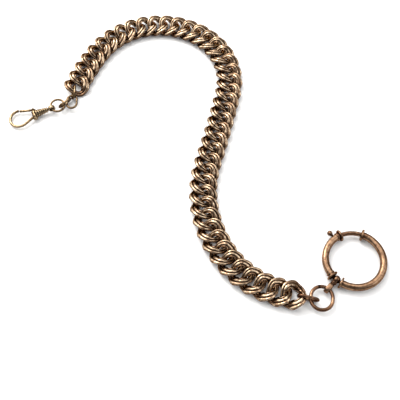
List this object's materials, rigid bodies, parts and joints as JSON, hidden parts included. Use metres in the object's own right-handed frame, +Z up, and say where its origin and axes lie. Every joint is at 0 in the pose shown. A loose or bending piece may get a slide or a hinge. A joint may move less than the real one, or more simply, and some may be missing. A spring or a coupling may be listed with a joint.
{
  "type": "pocket watch chain",
  "caption": "Curb-link pocket watch chain lying in an S, with a swivelling spring clip for the watch at one end and a large bolt ring at the other.",
  "frame": {"origin": "on the surface the chain lies on, under the middle of the bolt ring", "axes": "+Z up from the surface; the chain leaves the bolt ring towards -X and ends at the clip, at -X and +Y"},
  "size_m": [0.1166, 0.109, 0.0037],
  "materials": {
    "gold_links": "worn gold-filled metal with brown patina in the grooves",
    "gold_clip": "worn yellow gold-filled metal",
    "rose_gold": "polished rose gold-filled metal",
    "spring_steel": "plain"
  },
  "bodies": {
    "link_01": {"link_01": "gold_links"},
    "link_02": {"link_02": "gold_links"},
    "link_03": {"link_03": "gold_links"},
    "link_04": {"link_04": "gold_links"},
    "link_05": {"link_05": "gold_links"},
    "link_06": {"link_06": "gold_links"},
    "link_07": {"link_07": "gold_links"},
    "link_08": {"link_08": "gold_links"},
    "link_09": {"link_09": "gold_links"},
    "link_10": {"link_10": "gold_links"},
    "link_11": {"link_11": "gold_links"},
    "link_12": {"link_12": "gold_links"},
    "link_13": {"link_13": "gold_links"},
    "link_14": {"link_14": "gold_links"},
    "link_15": {"link_15": "gold_links"},
    "link_16": {"link_16": "gold_links"},
    "link_17": {"link_17": "gold_links"},
    "link_18": {"link_18": "gold_links"},
    "link_19": {"link_19": "gold_links"},
    "link_20": {"link_20": "gold_links"},
    "link_21": {"link_21": "gold_links"},
    "link_22": {"link_22": "gold_links"},
    "link_23": {"link_23": "gold_links"},
    "link_24": {"link_24": "gold_links"},
    "link_25": {"link_25": "gold_links"},
    "link_26": {"link_26": "gold_links"},
    "link_27": {"link_27": "gold_links"},
    "link_28": {"link_28": "gold_links"},
    "link_29": {"link_29": "gold_links"},
    "link_30": {"link_30": "gold_links"},
    "link_31": {"link_31": "gold_links"},
    "link_32": {"link_32": "gold_links"},
    "link_33": {"link_33": "gold_links"},
    "link_34": {"link_34": "gold_links"},
    "link_35": {"link_35": "gold_links"},
    "link_36": {"link_36": "gold_links"},
    "link_37": {"link_37": "gold_links"},
    "link_38": {"link_38": "gold_links"},
    "link_39": {"link_39": "gold_links"},
    "link_40": {"link_40": "gold_links"},
    "link_41": {"link_41": "gold_links"},
    "link_42": {"link_42": "gold_links"},
    "link_43": {"link_43": "gold_links"},
    "clip_connector": {"clip_connector": "gold_clip"},
    "clip_jump_ring": {"clip_jump_ring": "gold_clip"},
    "swivel_connector": {"swivel_connector": "gold_clip"},
    "swivel_jump_ring": {"swivel_jump_ring": "gold_clip"},
    "swivel_eye": {"swivel_eye": "gold_clip"},
    "bolt_connector": {"bolt_connector": "rose_gold"},
    "bolt_jump_ring": {"bolt_jump_ring": "rose_gold"},
    "ring_eye": {"ring_eye": "rose_gold"},
    "sliding_bolt": {"sliding_bolt": "rose_gold"},
    "clip_body": {"clip_barrel": "gold_clip", "clip_hook": "gold_clip", "gate_pin": "gold_clip", "gate_spring": "spring_steel"},
    "gate": {"clip_gate": "gold_clip"},
    "bolt_ring": {"ring_tube": "rose_gold", "ring_collars": "rose_gold", "bolt_spring": "spring_steel"}
  },
  "joints": [
    {"name": "clip_swivel", "type": "hinge", "parent": "swivel_eye", "child": "clip_body", "pos_m": [-0.09611, 0.05227, 0.00166], "axis": [-0.9313, -0.3575, -0.0698], "continuous": true},
    {"name": "gate_hinge", "type": "hinge", "parent": "clip_body", "child": "gate", "pos_m": [-0.09953, 0.05283, 0.00145], "axis": [-0.0651, -0.025, 0.9976], "range_deg": [0, 28], "stiffness_Nm_per_rad": 0.002, "springref_deg": -45.84, "deforming": ["gate_spring"]},
    {"name": "sliding_bolt", "type": "hinge", "parent": "bolt_ring", "child": "sliding_bolt", "pos_m": [0, 0, 0.00175], "axis": [0, 0, 1], "range_deg": [0, 48], "stiffness_Nm_per_rad": 0.004, "springref_deg": -51.57, "deforming": ["bolt_spring"]},
    {"name": "bolt_ring_flap", "type": "hinge", "parent": "ring_eye", "child": "bolt_ring", "pos_m": [-0.00577, -0.00597, 0.00175], "axis": [0.7193, -0.6947, 0], "range_deg": [-75, 75]},
    {"name": "clip_swing", "type": "hinge", "parent": "swivel_jump_ring", "child": "swivel_eye", "pos_m": [-0.09345, 0.05329, 0.00186], "axis": [0.3584, -0.9336, 0], "range_deg": [-20, 20]},
    {"name": "swivel_jump_ring_swing", "type": "hinge", "parent": "swivel_connector", "child": "swivel_jump_ring", "pos_m": [-0.09, 0.0549, 0.00185], "axis": [0, 0, 1], "range_deg": [-20, 20]},
    {"name": "swivel_connector_swing", "type": "hinge", "parent": "clip_jump_ring", "child": "swivel_connector", "pos_m": [-0.08835, 0.0553, 0.0015], "axis": [0.6947, -0.7193, 0], "range_deg": [-15, 5]},
    {"name": "clip_jump_ring_swing", "type": "hinge", "parent": "clip_connector", "child": "clip_jump_ring", "pos_m": [-0.0871, 0.0586, 0.0015], "axis": [0, 0, 1], "range_deg": [-10, 12]},
    {"name": "clip_connector_swing", "type": "hinge", "parent": "link_01", "child": "clip_connector", "pos_m": [-0.08685, 0.06003, 0.00171], "axis": [0.9976, 0.0698, 0], "range_deg": [-17, 17]},
    {"name": "ring_eye_swing", "type": "hinge", "parent": "bolt_jump_ring", "child": "ring_eye", "pos_m": [-0.00823, -0.00853, 0.0017], "axis": [0.7193, -0.6947, 0], "range_deg": [-12, 12]},
    {"name": "bolt_jump_ring_swing", "type": "hinge", "parent": "bolt_connector", "child": "bolt_jump_ring", "pos_m": [-0.0135, -0.0116, 0.0016], "axis": [0, 0, 1], "range_deg": [-15, 15]},
    {"name": "bolt_connector_swing", "type": "hinge", "parent": "link_43", "child": "bolt_connector", "pos_m": [-0.01553, -0.01091, 0.00171], "axis": [0.2419, 0.9703, 0], "range_deg": [-15, 15]},
    {"name": "drape_22_23", "type": "hinge", "parent": "link_22", "child": "link_23", "pos_m": [-0.03581, 0.05782, 0.00171], "axis": [-0.9753, 0.2207, 0], "range_deg": [-10, 10]},
    {"name": "sway_23_24", "type": "hinge", "parent": "link_23", "child": "link_24", "pos_m": [-0.03671, 0.05392, 0.00171], "axis": [0, 0, -1], "range_deg": [-15.5, 14.5]},
    {"name": "drape_24_25", "type": "hinge", "parent": "link_24", "child": "link_25", "pos_m": [-0.03765, 0.05003, 0.00171], "axis": [0.9713, -0.2377, 0], "range_deg": [-10, 10]},
    {"name": "sway_25_26", "type": "hinge", "parent": "link_25", "child": "link_26", "pos_m": [-0.03861, 0.04615, 0.00171], "axis": [0, 0, 1], "range_deg": [-14.5, 15.5]},
    {"name": "drape_26_27", "type": "hinge", "parent": "link_26", "child": "link_27", "pos_m": [-0.03962, 0.04228, 0.00171], "axis": [-0.967, 0.2546, 0], "range_deg": [-10, 10]},
    {"name": "sway_27_28", "type": "hinge", "parent": "link_27", "child": "link_28", "pos_m": [-0.04065, 0.03841, 0.00171], "axis": [0, 0, -1], "range_deg": [-15.5, 14.5]},
    {"name": "drape_28_29", "type": "hinge", "parent": "link_28", "child": "link_29", "pos_m": [-0.04172, 0.03456, 0.00171], "axis": [0.9625, -0.2714, 0], "range_deg": [-10, 10]},
    {"name": "sway_29_30", "type": "hinge", "parent": "link_29", "child": "link_30", "pos_m": [-0.04282, 0.03071, 0.00171], "axis": [0, 0, 1], "range_deg": [-21, 9]},
    {"name": "drape_30_31", "type": "hinge", "parent": "link_30", "child": "link_31", "pos_m": [-0.04352, 0.02677, 0.00171], "axis": [-0.9925, 0.1219, 0], "range_deg": [-8, 8]},
    {"name": "sway_31_32", "type": "hinge", "parent": "link_31", "child": "link_32", "pos_m": [-0.0438, 0.02278, 0.00171], "axis": [0, 0, -1], "range_deg": [-9, 21]},
    {"name": "drape_32_33", "type": "hinge", "parent": "link_32", "child": "link_33", "pos_m": [-0.04366, 0.01879, 0.00171], "axis": [0.9962, 0.0872, 0], "range_deg": [-8, 8]},
    {"name": "sway_33_34", "type": "hinge", "parent": "link_33", "child": "link_34", "pos_m": [-0.0431, 0.01482, 0.00171], "axis": [0, 0, 1], "range_deg": [-21, 9]},
    {"name": "drape_34_35", "type": "hinge", "parent": "link_34", "child": "link_35", "pos_m": [-0.04213, 0.01094, 0.00171], "axis": [-0.9563, -0.2924, 0], "range_deg": [-8, 8]},
    {"name": "sway_35_36", "type": "hinge", "parent": "link_35", "child": "link_36", "pos_m": [-0.04076, 0.00719, 0.00171], "axis": [0, 0, -1], "range_deg": [-9, 21]},
    {"name": "drape_36_37", "type": "hinge", "parent": "link_36", "child": "link_37", "pos_m": [-0.03901, 0.00359, 0.00171], "axis": [0.8746, 0.4848, 0], "range_deg": [-8, 8]},
    {"name": "sway_37_38", "type": "hinge", "parent": "link_37", "child": "link_38", "pos_m": [-0.03689, 0.0002, 0.00171], "axis": [0, 0, 1], "range_deg": [-23.5, 6.5]},
    {"name": "drape_38_39", "type": "hinge", "parent": "link_38", "child": "link_39", "pos_m": [-0.03429, -0.00284, 0.00171], "axis": [-0.7102, -0.704, 0], "range_deg": [-8, 8]},
    {"name": "sway_39_40", "type": "hinge", "parent": "link_39", "child": "link_40", "pos_m": [-0.03127, -0.00547, 0.00171], "axis": [0, 0, -1], "range_deg": [-6.5, 23.5]},
    {"name": "drape_40_41", "type": "hinge", "parent": "link_40", "child": "link_41", "pos_m": [-0.0279, -0.00762, 0.00171], "axis": [0.4733, 0.8809, 0], "range_deg": [-8, 8]},
    {"name": "sway_41_42", "type": "hinge", "parent": "link_41", "child": "link_42", "pos_m": [-0.02425, -0.00924, 0.00171], "axis": [0, 0, 1], "range_deg": [-23.5, 6.5]},
    {"name": "drape_42_43", "type": "hinge", "parent": "link_42", "child": "link_43", "pos_m": [-0.02039, -0.01031, 0.00171], "axis": [-0.1951, -0.9808, 0], "range_deg": [-8, 8]},
    {"name": "sway_21_22", "type": "hinge", "parent": "link_22", "child": "link_21", "pos_m": [-0.03495, 0.06172, 0.00171], "axis": [0, 0, 1], "range_deg": [-24.5, 5.5]},
    {"name": "drape_20_21", "type": "hinge", "parent": "link_21", "child": "link_20", "pos_m": [-0.03474, 0.06572, 0.00171], "axis": [0.9995, 0.0305, 0], "range_deg": [-8, 8]},
    {"name": "sway_19_20", "type": "hinge", "parent": "link_20", "child": "link_19", "pos_m": [-0.03519, 0.06969, 0.00171], "axis": [0, 0, -1], "range_deg": [-5.5, 24.5]},
    {"name": "drape_18_19", "type": "hinge", "parent": "link_19", "child": "link_18", "pos_m": [-0.03629, 0.07354, 0.00171], "axis": [-0.9351, -0.3543, 0], "range_deg": [-8, 8]},
    {"name": "sway_17_18", "type": "hinge", "parent": "link_18", "child": "link_17", "pos_m": [-0.03802, 0.07715, 0.00171], "axis": [0, 0, 1], "range_deg": [-24.5, 5.5]},
    {"name": "drape_16_17", "type": "hinge", "parent": "link_17", "child": "link_16", "pos_m": [-0.04031, 0.08042, 0.00171], "axis": [0.7688, 0.6394, 0], "range_deg": [-8, 8]},
    {"name": "sway_15_16", "type": "hinge", "parent": "link_16", "child": "link_15", "pos_m": [-0.04311, 0.08328, 0.00171], "axis": [0, 0, -1], "range_deg": [-5.5, 24.5]},
    {"name": "drape_14_15", "type": "hinge", "parent": "link_15", "child": "link_14", "pos_m": [-0.04635, 0.08563, 0.00171], "axis": [-0.5188, -0.8549, 0], "range_deg": [-8, 8]},
    {"name": "sway_13_14", "type": "hinge", "parent": "link_14", "child": "link_13", "pos_m": [-0.04993, 0.08741, 0.00171], "axis": [0, 0, 1], "range_deg": [-24.5, 5.5]},
    {"name": "drape_12_13", "type": "hinge", "parent": "link_13", "child": "link_12", "pos_m": [-0.05375, 0.08858, 0.00171], "axis": [0.2122, 0.9772, 0], "range_deg": [-8, 8]},
    {"name": "sway_11_12", "type": "hinge", "parent": "link_12", "child": "link_11", "pos_m": [-0.05772, 0.0891, 0.00171], "axis": [0, 0, -1], "range_deg": [-5.5, 24.5]},
    {"name": "drape_10_11", "type": "hinge", "parent": "link_11", "child": "link_10", "pos_m": [-0.06172, 0.08896, 0.00171], "axis": [0.1175, -0.9931, 0], "range_deg": [-8, 8]},
    {"name": "sway_09_10", "type": "hinge", "parent": "link_10", "child": "link_09", "pos_m": [-0.06564, 0.08817, 0.00171], "axis": [0, 0, 1], "range_deg": [-24.5, 5.5]},
    {"name": "drape_08_09", "type": "hinge", "parent": "link_09", "child": "link_08", "pos_m": [-0.06937, 0.08673, 0.00171], "axis": [-0.4344, 0.9007, 0], "range_deg": [-8, 8]},
    {"name": "sway_07_08", "type": "hinge", "parent": "link_08", "child": "link_07", "pos_m": [-0.07282, 0.0847, 0.00171], "axis": [0, 0, -1], "range_deg": [-5.5, 24.5]},
    {"name": "drape_06_07", "type": "hinge", "parent": "link_07", "child": "link_06", "pos_m": [-0.07588, 0.08213, 0.00171], "axis": [0.704, -0.7102, 0], "range_deg": [-8, 8]},
    {"name": "sway_05_06", "type": "hinge", "parent": "link_06", "child": "link_05", "pos_m": [-0.07848, 0.07909, 0.00171], "axis": [0, 0, 1], "range_deg": [-24.5, 5.5]},
    {"name": "drape_04_05", "type": "hinge", "parent": "link_05", "child": "link_04", "pos_m": [-0.08054, 0.07566, 0.00171], "axis": [-0.8725, 0.4886, 0], "range_deg": [-10, 10]},
    {"name": "sway_03_04", "type": "hinge", "parent": "link_04", "child": "link_03", "pos_m": [-0.08239, 0.07211, 0.00171], "axis": [0, 0, -1], "range_deg": [-11.5, 18.5]},
    {"name": "drape_02_03", "type": "hinge", "parent": "link_03", "child": "link_02", "pos_m": [-0.08401, 0.06846, 0.00171], "axis": [0.9255, -0.3786, 0], "range_deg": [-10, 10]},
    {"name": "sway_01_02", "type": "hinge", "parent": "link_02", "child": "link_01", "pos_m": [-0.08542, 0.06471, 0.00171], "axis": [0, 0, 1], "range_deg": [-18.5, 11.5]}
  ]
}
